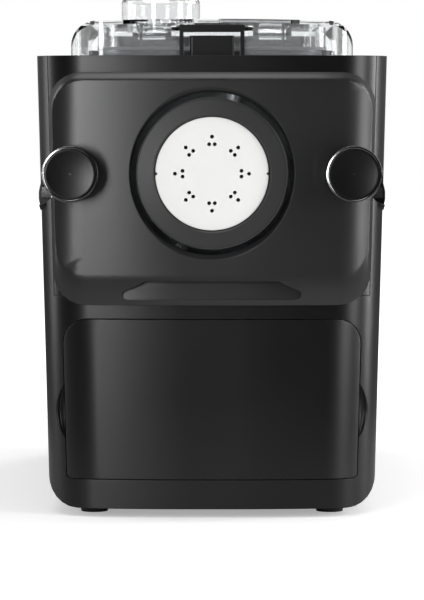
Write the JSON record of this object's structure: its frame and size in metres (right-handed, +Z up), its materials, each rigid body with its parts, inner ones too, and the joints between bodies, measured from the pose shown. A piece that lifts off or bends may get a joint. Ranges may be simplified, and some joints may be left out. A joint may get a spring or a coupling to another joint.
{
  "type": "electric pasta maker",
  "caption": "Electric pasta maker: tapering dark housing, clamped front panel with round shaping disc, clear lid over a mixing chamber, drawer below.",
  "frame": {"origin": "middle of the footprint, on the table", "axes": "+X to the right seen from the front, +Y to the back, +Z up"},
  "size_m": [0.21, 0.4, 0.3107],
  "materials": {
    "housing_plastic": "fine matte moulded",
    "panel_plastic": "satin moulded",
    "knob_plastic": "satin",
    "drawer_plastic": "fine matte moulded",
    "tray_plastic": "matte",
    "bezel_metal": "polished",
    "steel": "brushed",
    "polished_steel": "ground",
    "disc_plastic": "smooth white",
    "cream_plastic": "smooth cream",
    "pale_plastic": "smooth pale",
    "ring_plastic": "satin grey",
    "tube_plastic": "satin",
    "clear_plastic": "clear",
    "chamber_plastic": "translucent",
    "seal_rubber": "soft",
    "foot_rubber": "matte",
    "frame_metal": "coated",
    "cast_alloy": "cast",
    "bronze": "sintered",
    "gear_nylon": "moulded",
    "motor_metal": "plated",
    "rotor_metal": "laminated",
    "fan_plastic": "moulded",
    "board_green": "lacquered",
    "console_plastic": "satin",
    "display_glass": "gloss",
    "key_plastic": "satin",
    "start_plastic": "satin silver",
    "inlet_plastic": "matte"
  },
  "bodies": {
    "housing": {"housing_shell": "housing_plastic", "front_fascia": "housing_plastic", "base_plate": "housing_plastic", "feet": "foot_rubber", "base_screws": "steel", "top_deck": "console_plastic", "chassis_frame": "frame_metal", "chassis_screws": "steel", "gearbox_housing": "cast_alloy", "gearbox_cover": "cast_alloy", "gearbox_screws": "steel", "output_bushes": "bronze", "intermediate_pin": "polished_steel", "motor_can": "motor_metal", "motor_end_cap": "fan_plastic", "power_board": "board_green", "power_inlet": "inlet_plastic", "inlet_pins": "polished_steel", "mixing_chamber": "chamber_plastic", "tube_seal": "seal_rubber", "extrusion_tube": "tube_plastic", "shaping_disc": "disc_plastic", "clamp_blocks": "polished_steel", "drawer_runners": "frame_metal", "lid_hinge_pins": "steel", "latch_block": "housing_plastic", "lid_switch": "fan_plastic", "control_console": "console_plastic", "display_window": "display_glass", "control_board": "board_green"},
    "drive_shaft": {"output_shaft": "polished_steel", "output_gear": "gear_nylon", "extrusion_screw": "polished_steel", "mixing_paddle": "polished_steel"},
    "middle_gear": {"intermediate_gear": "gear_nylon"},
    "rotor": {"motor_rotor": "rotor_metal", "cooling_fan": "fan_plastic"},
    "ring": {"retaining_ring": "ring_plastic"},
    "panel": {"front_panel": "panel_plastic"},
    "left_clamp": {"left_knob": "knob_plastic", "left_bezel": "bezel_metal", "left_clamp_screw": "steel"},
    "right_clamp": {"right_knob": "knob_plastic", "right_bezel": "bezel_metal", "right_clamp_screw": "steel"},
    "drawer": {"drawer_front": "drawer_plastic", "drawer_tray": "tray_plastic", "fine_noodle_disc": "disc_plastic", "flat_noodle_disc": "cream_plastic", "tube_pasta_disc": "pale_plastic"},
    "lid": {"lid_cover": "clear_plastic", "lid_skirt": "clear_plastic", "lid_seal": "seal_rubber"},
    "latch": {"lid_latch": "housing_plastic"},
    "cap": {"measuring_cap": "clear_plastic"},
    "start": {"start_button": "start_plastic"},
    "mode": {"mode_key": "key_plastic"},
    "weight": {"weight_key": "key_plastic"},
    "minus": {"minus_key": "key_plastic"},
    "plus": {"plus_key": "key_plastic"}
  },
  "joints": [
    {"name": "drive_turn", "type": "hinge", "parent": "housing", "child": "drive_shaft", "pos_m": [0, 0.073, 0.2044], "axis": [0, 1, 0], "continuous": true},
    {"name": "middle_turn", "type": "hinge", "parent": "housing", "child": "middle_gear", "pos_m": [0, 0.073, 0.14815], "axis": [0, 1, 0], "continuous": true},
    {"name": "rotor_turn", "type": "hinge", "parent": "housing", "child": "rotor", "pos_m": [0, 0.128, 0.11315], "axis": [0, 1, 0], "continuous": true},
    {"name": "ring_turn", "type": "hinge", "parent": "housing", "child": "ring", "pos_m": [0, -0.18, 0.2044], "axis": [0, 1, 0], "range_deg": [0, 60]},
    {"name": "panel_slide", "type": "slide", "parent": "housing", "child": "panel", "axis": [0, -1, 0], "range_m": [0, 0.07]},
    {"name": "left_knob_turn", "type": "hinge", "parent": "panel", "child": "left_clamp", "pos_m": [-0.083, -0.19, 0.2044], "axis": [0, 1, 0], "range_deg": [0, 120]},
    {"name": "right_knob_turn", "type": "hinge", "parent": "panel", "child": "right_clamp", "pos_m": [0.083, -0.19, 0.2044], "axis": [0, -1, 0], "range_deg": [0, 120]},
    {"name": "drawer_slide", "type": "slide", "parent": "housing", "child": "drawer", "axis": [0, -1, 0], "range_m": [0, 0.14]},
    {"name": "lid_open", "type": "hinge", "parent": "housing", "child": "lid", "pos_m": [0, 0.0532, 0.2914], "axis": [-1, 0, 0], "range_deg": [0, 100]},
    {"name": "latch_release", "type": "hinge", "parent": "lid", "child": "latch", "pos_m": [0, -0.149, 0.2904], "axis": [-1, 0, 0], "range_deg": [0, 12], "stiffness_Nm_per_rad": 0.05},
    {"name": "cap_lift", "type": "slide", "parent": "lid", "child": "cap", "axis": [0, 0, 1], "range_m": [0, 0.03]},
    {"name": "start_press", "type": "slide", "parent": "housing", "child": "start", "axis": [0, 0, -1], "range_m": [0, 0.0012], "stiffness_N_per_m": 600},
    {"name": "mode_press", "type": "slide", "parent": "housing", "child": "mode", "axis": [0, 0, -1], "range_m": [0, 0.0012], "stiffness_N_per_m": 600},
    {"name": "weight_press", "type": "slide", "parent": "housing", "child": "weight", "axis": [0, 0, -1], "range_m": [0, 0.0012], "stiffness_N_per_m": 600},
    {"name": "minus_press", "type": "slide", "parent": "housing", "child": "minus", "axis": [0, 0, -1], "range_m": [0, 0.0012], "stiffness_N_per_m": 600},
    {"name": "plus_press", "type": "slide", "parent": "housing", "child": "plus", "axis": [0, 0, -1], "range_m": [0, 0.0012], "stiffness_N_per_m": 600}
  ],
  "couplings": [
    {"joint": "middle_turn", "follows": "drive_turn", "ratio": -4},
    {"joint": "rotor_turn", "follows": "drive_turn", "ratio": 16}
  ]
}
